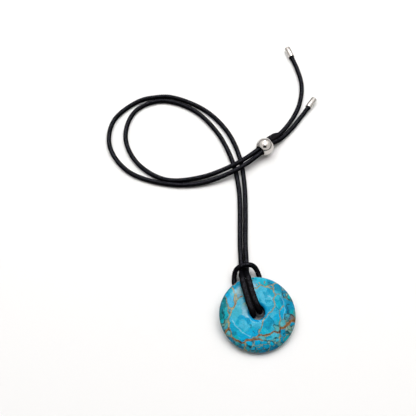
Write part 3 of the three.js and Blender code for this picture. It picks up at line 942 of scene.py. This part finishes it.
# %% Dark cracks
dark_cracks = [
    (0.35, 0.15, [(-17.4, 14.2), (-16.3, 12.5), (-16, 10), (-15.9, 8.6)]),
    (0.3, 0.35, [(-19.6, 6.6), (-20, 5), (-19.6, 3.6), (-20.2, 2)]),
    (0.2, 0.3, [(-18.9, 5.6), (-19.6, 4.2)]),
    (0.15, 0.2, [(-17.6, 2.8), (-18.5, 1.4), (-19.5, 0.8)]),
    (0.3, 0.25, [(-19.6, 0.9), (-20.1, -0.5), (-21, -1.1), (-22.1, -0.7)]),
    (0.2, 0.15, [(-20.4, 9), (-19.2, 11.6)]),
    (0.15, 0.2, [(-17.2, -1.2), (-17.6, -2.2)]),
    (0.15, 0.3, [(-18.9, -9.9), (-18, -11.2), (-17.6, -12.8)]),
    (0.15, 0.2, [(-15.4, -12.6), (-13.4, -13.4), (-11.4, -13.3), (-9.6, -12.9)]),
    (0.7, 0.6, [(-9.9, -17.4), (-9.2, -17.9)]),
    (0.2, 0.25, [(-11.4, -16.8), (-10.4, -17.1)]),
    (0.15, 0.1, [(-8.6, -14.9), (-7, -14.9), (-6.4, -15.6)]),
    (0.3, 0.25, [(-6.5, -5.8), (-5.7, -6.1)]),
    (0.15, 0.3, [(-6.2, -6.6), (-6.5, -7.5)]),
    (0.3, 0.2, [(-5.3, -9.6), (-5.2, -10.6)]),
    (0.2, 0.15, [(-1.6, -9.5), (-2.8, -10), (-3.3, -11.2)]),
    (0.15, 0.12, [(6, -3.4), (6.8, -5.2), (7.4, -7), (7.7, -8.8), (8.2, -9.8), (9.7, -9.9)]),
    (0.12, 0.15, [(12.2, -2.4), (12.1, -4.4), (11.5, -6.4)]),
    (0.1, 0.15, [(11, 2.2), (11.6, 1.2), (12.2, -0.6)]),
    (0.2, 0.15, [(17.2, -4.2), (17.5, -1.6), (17.9, 0.8)]),
    (0.2, 0.35, [(16.4, 9.4), (16.7, 8.2), (17.1, 7), (17.6, 6)]),
    (0.3, 0.2, [(17.6, 6), (18.2, 5), (19, 4.1), (20.2, 3)]),
    (0.25, 0.3, [(18.2, 0.9), (19.4, 0.8)]),
    (0.3, 0.25, [(14, -6.9), (14.6, -7.6)]),
    (0.15, 0.3, [(14.8, -9), (16.2, -8.1), (17.2, -7)]),
    (0.25, 0.3, [(18, -5.3), (19, -5.3)]),
    (0.4, 0.3, [(5.7, -16.3), (6.1, -16.9)]),
    (0.2, 0.2, [(6.4, -16.7), (7.4, -16.5)]),
    (0.2, 0.3, [(-0.6, -16.1), (0.8, -16.9), (2.6, -17.4), (4, -17.6)]),
    (0.2, 0.2, [(4, -17.6), (4.4, -18.8)]),
    (0.35, 0.25, [(9.3, -19.8), (8.6, -19.2)]),
    (0.3, 0.2, [(0.4, -21), (-1.4, -21.2), (-2.6, -20.8)]),
    (0.2, 0.2, [(-6.6, -19.3), (-6.3, -20.6)]),
    (0.35, 0.4, [(12.9, -14), (14, -14.6), (14.7, -15.7)]),
    (0.2, 0.3, [(12.2, -14.4), (10.8, -15.4)]),
    (0.25, 0.25, [(16, -10.6), (16.3, -11.5), (17.2, -11.9)]),
    (0.3, 0.3, [(11.1, 16.6), (11.4, 16.2)]),
    (0.12, 0.2, [(9.8, 14.8), (11.4, 15.1), (13, 15.6)]),
    (0.3, 0.3, [(2.4, 19.5)]),
]
print("dark cracks:", len(dark_cracks))

# %% Painted reflection arcs
# Painted reflections: thin white arcs where a lamp's edge shines in the dome and on the bevel by the hole.
painted_reflection_arcs = [
    (0.3, 0.22, [(-15.8, -0.8), (-15.2, -2.6), (-14.2, -4.8), (-12.8, -7), (-11.4, -9), (-9.8, -10.7),
                 (-7.9, -12.2)]),
    (0.3, 0.2, [(8.3, 8.7), (9.5, 7.6), (10.3, 6.2), (10.4, 4.6)]),
    (0.2, 0.16, [(15.6, 7.6), (16.3, 5), (16.3, 3), (16.2, 1), (15.9, -1), (15.3, -3), (14.3, -5),
                 (13, -7.2)]),
    (0.3, 0.3, [(1.8, 15.1), (2.1, 14.8)]),
    (0.25, 0.15, [(-7, 0.4), (-6, -1.2), (-4.6, -3.8), (-3.2, -5)]),
]
print("painted reflection arcs:", len(painted_reflection_arcs))

# %% Distances on the chart
def beyond_line(places, start_width, stop_width, points):
    """How far each place lies outside a drawn line: the distance to its nearest straight piece, less its
    half width there, which changes evenly from one end to the other. Inside the line it is below zero."""
    points = np.array(points if len(points) > 1 else points * 2, float)
    start, step = points[:-1], np.diff(points, axis=0)
    offset = places[:, None] - start
    share = np.clip((offset * step).sum(2) / np.maximum((step**2).sum(1), 1e-9), 0, 1)
    distance = np.linalg.norm(offset - share[..., None] * step, axis=2)
    along = (np.arange(len(start)) + share) / len(start)
    return (distance - start_width - (stop_width - start_width) * along).min(axis=1)


def wandering(places):
    """The chart's places, moved by small waves that cross each other, so that no drawn line stays
    straight: a sine of one coordinate is added to the other, at two wavelengths."""
    x, y = places.T
    long_wave, short_wave = 0.22, 0.1
    bent_x = x + long_wave * np.sin(1.3 * y + 0.6) + short_wave * np.sin(3.7 * y + 1.1 * x)
    bent_y = y + long_wave * np.sin(1.5 * x + 2.1) + short_wave * np.sin(4.1 * x - 1.3 * y + 0.8)
    return np.stack([bent_x, bent_y], axis=1)


def height_of_face(radius):
    """The height of the upper face over the middle plane at a distance from the axis, off the profile."""
    upper = half_profile[np.argsort(half_profile[:, 0], kind="stable")]
    return np.interp(radius, upper[:, 0], upper[:, 1])


flat_shape = stone_shape.reshape(-1, 3)
profile_radius = np.repeat(stone_profile[:, 0], stone_shape.shape[1])
under_face = height_of_face(profile_radius) - flat_shape[:, 2]
slide = np.array([0.75, -0.55])
chart_places = wandering(flat_shape[:, :2] + under_face[:, None] * slide)
print("the chart slides by up to", round(float(under_face.max() * np.hypot(*slide)), 1), "mm underneath")

# %% Which nugget each point is in
blend_rate, no_seam = 4.5, 3.0  # one in each millimetre, the other in millimetres
all_nuggets = [
    (chart is small_nuggets, nugget_colours[kind], radius, points)
    for chart in (large_nuggets, small_nuggets) for kind, group in chart.items() for radius, points in group
]
is_small = np.array([small for small, _, _, _ in all_nuggets])
nugget_distance = np.stack([beyond_line(chart_places, r, r, points) for _, _, r, points in all_nuggets])
nearest_first = np.argsort(nugget_distance, axis=0)
nearest, second = np.take_along_axis(nugget_distance, nearest_first[:2], axis=0)
share_of_each = np.exp(-blend_rate * (nugget_distance - nearest))
share_of_each /= share_of_each.sum(axis=0)
stone_colour = share_of_each.T @ np.array([colour for _, colour, _, _ in all_nuggets])
beside_small = is_small[nearest_first[:2]].any(axis=0)
beyond_seam = np.where(beside_small, (second - nearest) / 2, no_seam)
print("nuggets:", len(all_nuggets), "of which small:", int(is_small.sum()))


def nearest_of(lines):
    """How far each point lies outside the nearest line of a kind."""
    return np.min([beyond_line(chart_places, *line) for line in lines], axis=0)


chart_fields = {
    "beyond_seam": beyond_seam,
    "beyond_copper": nearest_of(copper_veins),
    "beyond_umber": nearest_of(umber_spots),
    "beyond_tan": nearest_of(tan_veins),
    "beyond_dark": nearest_of(dark_cracks),
    "beyond_painted_reflection": nearest_of(painted_reflection_arcs),
    "beyond_hole": profile_radius - hole_radius,
}
for field, values in chart_fields.items():
    mark_points(stone.data, field, values)
    print(f"{field}: {np.mean(values < 0.2):.1%} of the points within 0.2 mm")
mark_points(stone.data, "nugget_colour", stone_colour, "FLOAT_COLOR", "color")

# %% [markdown]
# ## From distances to veins
#
# The mesh carries distances and not finished masks, because a distance stays smooth between two points of
# the mesh and can be cut sharply by the material. Noise is added before the cut, which makes the edge of a
# vein ragged, as it is where matrix has soaked into the stone. All the kinds of vein use the same cut, so
# it is a node group.

# %% Build the ragged edge once
ragged_edge, edge_in, edge_out = new_group(
    "ragged_edge",
    [("Beyond", FLOAT, 0.0), ("Place", VECTOR, None), ("Wider By", FLOAT, 0.0), ("Ragged", FLOAT, 0.3),
     ("Grain Scale", FLOAT, 900.0), ("Softness", FLOAT, 0.1)],
    [("Mask", FLOAT)],
)
grain = noise(ragged_edge, edge_in.outputs["Place"], edge_in.outputs["Grain Scale"], 4.0, 0.65)
push = maths(ragged_edge, "MULTIPLY", maths(ragged_edge, "SUBTRACT", grain, 0.5), edge_in.outputs["Ragged"])
pushed = maths(ragged_edge, "ADD", edge_in.outputs["Beyond"], push)
pushed = maths(ragged_edge, "SUBTRACT", pushed, edge_in.outputs["Wider By"])
softness = edge_in.outputs["Softness"]
inside = maths(ragged_edge, "MULTIPLY", softness, -1.0)
mask = in_range(ragged_edge, pushed, inside, softness, 1.0, 0.0)
ragged_edge.links.new(mask, edge_out.inputs["Mask"])
print("ragged edge:", len(ragged_edge.nodes), "nodes in the group")

# %% [markdown]
# ## Polished turquoise
#
# The material starts from the nugget's colour. Clouds of paler and greener stone go over it, then chips,
# which are bent Voronoi cells and deeper or paler than the rest, and fine streaks. The polish deepens all of
# it a little. Over that go the thin matrix between small nuggets with its dark edge, the dark cracks, the tan
# veins, the copper veins, their umber spots, and last painted reflections, thin white arcs where a lamp's
# edge would shine. Round the hole the bevel is painted a saturated blue, as its darker reflection shows it,
# and the wall inside the hole is painted near black as painted shade. The face is polished like glass, and
# the veins, which are softer, are a little duller and a hair lower.

# %% The stone's material: clouds in the nuggets
def tinted(colour, mask, amount, tint):
    """The colour so far, moved towards a tint by an amount from 0 to 1 where the mask is 1."""
    return blend_colours(tree, maths(tree, "MULTIPLY", mask, amount), colour, tint)


turquoise, tree, shader = new_material("polished_turquoise", IOR=1.61, Specular_IOR_Level=0.07)
stone_place = place_on_object(tree)
colour = mark_on_mesh(tree, "nugget_colour", "Color")
clouds = noise(tree, stone_place, 210.0, 4.0, 0.6)
colour = tinted(colour, in_range(tree, clouds, 0.52, 0.72), 0.34, srgb(112, 184, 206))
colour = tinted(colour, in_range(tree, clouds, 0.46, 0.3), 0.3, srgb(0, 126, 142))
bend_by = add_node(tree, "ShaderNodeTexNoise", {"Vector": stone_place, "Scale": 350.0}).outputs["Color"]
bent_place = blend_colours(tree, 0.0018, stone_place, bend_by)
chips = add_node(tree, "ShaderNodeTexVoronoi", {"Vector": bent_place, "Scale": 420.0}).outputs["Color"]
chip = add_node(tree, "ShaderNodeSeparateColor", {"Color": chips})
colour = tinted(colour, in_range(tree, chip.outputs[0], 0.55, 0.95), 0.5, srgb(0, 120, 162))
colour = tinted(colour, in_range(tree, chip.outputs[1], 0.6, 0.95), 0.25, srgb(104, 182, 205))
streaks = noise(tree, stone_place, 1300.0, 5.0, 0.7)
streak_shade = in_range(tree, streaks, 0.3, 0.7, 0.8, 1.2)
shade = add_node(tree, "ShaderNodeCombineColor", {0: streak_shade, 1: streak_shade, 2: streak_shade})
colour = blend_colours(tree, 1.0, colour, shade.outputs[0], "MULTIPLY")
deepened = add_node(tree, "ShaderNodeHueSaturation", {"Color": colour, "Saturation": 1.06, "Value": 1.08})
colour = deepened.outputs["Color"]
beyond_hole = mark_on_mesh(tree, "beyond_hole")
# Painted reflection: the bevel round the hole is painted a saturated blue, the look its darker reflection
# gives it.
colour = tinted(colour, in_range(tree, beyond_hole, 1.9, 1.4), 0.9, srgb(0, 148, 200))
print("polished turquoise so far:", len(tree.nodes), "nodes")


# %% The stone's material: matrix, veins, cracks and painted reflections
def vein_mask(field, wider, ragged, grain_scale, softness):
    """1 inside the lines whose distance is kept under this name, cut with a ragged edge."""
    inputs = {"Beyond": mark_on_mesh(tree, field), "Place": stone_place, "Wider By": wider,
              "Ragged": ragged, "Grain Scale": grain_scale, "Softness": softness}
    return place_group(tree, ragged_edge, inputs).outputs["Mask"]


patchy = noise(tree, stone_place, 600.0, 3.0, 0.6)
matrix_colour = blend_colours(tree, in_range(tree, patchy, 0.42, 0.6), srgb(8, 66, 74), srgb(150, 150, 112))
patch_share = in_range(tree, patchy, 0.35, 0.65)
tan_colour = blend_colours(tree, patch_share, srgb(104, 106, 76), srgb(176, 156, 102))
copper_colour = blend_colours(tree, patch_share, srgb(86, 52, 30), srgb(150, 104, 60))
layers = [  # from the lowest: distance, wider by, ragged, grain scale, softness, amount and tint
    ("beyond_seam", 0.3, 0.35, 700.0, 0.25, 0.6, srgb(0, 76, 90)),
    ("beyond_seam", 0.12, 0.35, 700.0, 0.16, 0.92, matrix_colour),
    ("beyond_dark", 0.0, 0.3, 900.0, 0.2, 0.85, srgb(6, 52, 62)),
    ("beyond_tan", 0.2, 0.3, 700.0, 0.25, 0.45, srgb(24, 88, 92)),
    ("beyond_tan", 0.05, 0.3, 800.0, 0.16, 0.85, tan_colour),
    ("beyond_copper", 0.25, 0.4, 700.0, 0.25, 0.6, srgb(120, 112, 74)),
    ("beyond_copper", 0.06, 0.35, 800.0, 0.16, 0.95, copper_colour),
    ("beyond_umber", 0.05, 0.3, 900.0, 0.25, 0.85, srgb(58, 28, 18)),
    # painted reflection: the thin white arcs of a lamp's edge
    ("beyond_painted_reflection", -0.05, 0.12, 700.0, 0.3, 0.5, srgb(165, 210, 226)),
]
masks = {}
for field, wider, ragged, grain_scale, softness, amount, tint in layers:
    masks[field] = vein_mask(field, wider, ragged, grain_scale, softness)
    colour = tinted(colour, masks[field], amount, tint)
# Painted shade: the wall inside the hole is painted near black, where shade falls in it.
colour = tinted(colour, in_range(tree, beyond_hole, 0.35, 0.0), 0.9, srgb(10, 20, 26))
tree.links.new(colour, shader.inputs["Base Color"])
print("layers laid over the nuggets:", len(layers))

# %% The stone's material: polish
polish = place_group(
    tree, handling_marks, {"Place": stone_place, "Patch Scale": 160.0, "Clean": 0.1, "Dull": 0.2}
)
soft_parts = maths(tree, "MAXIMUM", masks["beyond_tan"], masks["beyond_dark"])
soft_parts = maths(tree, "MAXIMUM", masks["beyond_copper"], soft_parts)
dulled = maths(tree, "ADD", polish.outputs["Roughness"], maths(tree, "MULTIPLY", soft_parts, 0.12))
tree.links.new(dulled, shader.inputs["Roughness"])
worn_low = maths(tree, "MULTIPLY", soft_parts, -1.0)
relief = add_node(tree, "ShaderNodeBump", {"Height": worn_low, "Strength": 0.5, "Distance": 0.00004})
tree.links.new(relief.outputs["Normal"], shader.inputs["Normal"])
stone.data.materials.append(turquoise)
print("polished turquoise:", len(tree.nodes), "nodes")

# %% [markdown]
# ## Hang each piece on the necklace's body
#
# Every piece rides on the one body of the necklace and takes the place of its plain solid, which is hidden.

pieces = {"cord": (cord, "black_cord"), "pendant_stone": (stone, "turquoise")}
pieces.update({node: (piece, "polished_steel") for node, piece in steel_pieces.items()})
for node, (piece, slot) in pieces.items():
    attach(piece, "root")
    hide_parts(node)
print("pieces:", ", ".join(piece.name for piece, _ in pieces.values()))

# %% [markdown]
# ## The table and the light
#
# The necklace lies on matt white card. Above it hangs one very large soft light, a little towards the far
# side, so the shadows are pale and hug the pieces. Seen in a polished face such a light would lay a white
# veil over the stone's blue. So the job is split, as a studio does with flags and filters: the big light
# works on matt surfaces only, and what shines sees lights of its own. They are a bright narrow strip for the
# spark on the ball and the stripe on the caps, a soft panel round it, and a wide pale ceiling, with a warm
# grey room at the sides. A dark panel stands where the camera is and shows only in mirrors, as a camera
# does in any shiny ball.

# %% The table
def stage_panel(name, half_width, half_depth, tip, middle):
    """A flat four-sided piece of the stage, tipped up about its level side."""
    corners = np.array([[-1, -1], [1, -1], [1, 1], [-1, 1]]) * [half_width, half_depth]
    directions = np.array([[1, 0, 0], [0, math.cos(tip), math.sin(tip)]])
    mesh = bpy.data.meshes.new(name)
    mesh.from_pydata((corners @ directions + middle).tolist(), [], [(0, 1, 2, 3)])
    made = add_to_scene(name, mesh)
    return made


table_half_side, under_cord = 4.0, 0.00002
table = stage_panel("white_card", table_half_side, table_half_side, 0, (0, 0, -under_cord))
white_card, tree, shader = new_material("matt_white_card", Roughness=0.75, Specular_IOR_Level=0.2)
fibres = noise(tree, place_on_object(tree), 900.0, 4.0, 0.6)
card_colour = blend_colours(tree, fibres, (0.83, 0.825, 0.82, 1), (0.85, 0.846, 0.842, 1))
tree.links.new(card_colour, shader.inputs["Base Color"])
table.data.materials.append(white_card)
print("table:", 2 * table_half_side, "m square")

# %% The lights
def soft_light(name, place, towards, size, radiance, colour):
    """A rectangular area light aimed at a point. Its power is radiance times area times pi."""
    data = bpy.data.lights.new(name, "AREA")
    data.shape, data.size, data.size_y, data.color = "RECTANGLE", *size, colour
    data.energy = radiance * size[0] * size[1] * math.pi
    light = add_to_scene(name, data)
    light.location = place
    ahead = unit(np.array(towards) - place)
    light.rotation_euler = (math.acos(-ahead[2]), 0, math.atan2(-ahead[0], ahead[1]))
    return light


lights = {  # place, aimed at, size, radiance and colour
    "overhead_softbox": ((0.02, 0.42, 1.03), (0, 0.09, 0), (1.7, 0.9), 3.75, (1, 1, 1)),
    "mirrored_strip": ((0.009, 0.3, 0.45), (0.009, 0.3, 0), (0.1, 0.5), 14.0, (1, 1, 1)),
    "mirrored_softbox": ((0.009, 0.32, 0.5), (0.009, 0.12, 0), (0.8, 0.5), 0.85, (1, 0.99, 0.98)),
    "mirrored_ceiling": ((0, 0.1, 1.2), (0, 0.1, 0), (8, 8), 0.65, (1, 0.98, 0.96)),
}
for name, facts in lights.items():
    light = soft_light(name, *facts)
    in_mirrors = name.startswith("mirrored")
    light.visible_glossy, light.visible_diffuse = in_mirrors, not in_mirrors
    print(f"{name}: {light.data.energy:.1f} W, seen by", "mirrors" if in_mirrors else "matt surfaces")

# %% The room
room_strength = 0.26
room = bpy.data.worlds.new("warm_grey_room")
room.use_nodes = True
backdrop = room.node_tree.nodes["Background"]
backdrop.inputs["Color"].default_value = (1.0, 0.965, 0.94, 1)
backdrop.inputs["Strength"].default_value = room_strength
bpy.context.scene.world = room
bpy.context.scene.view_settings.view_transform = "Standard"
print("room:", room_strength, "of full white from every side")

# %% The dark panel in the mirrors
panel_half_width, panel_half_depth = 0.19, 0.12
panel = stage_panel("camera_panel", panel_half_width, panel_half_depth, camera_tip, camera_place)
dark_cloth, _, shader = new_material("dark_cloth", Roughness=0.9)
shader.inputs["Base Color"].default_value = (0.01, 0.01, 0.01, 1)
panel.data.materials.append(dark_cloth)
panel.visible_camera = panel.visible_diffuse = panel.visible_shadow = False
print("camera panel:", 2 * panel_half_width, "by", 2 * panel_half_depth, "m, seen in mirrors only")
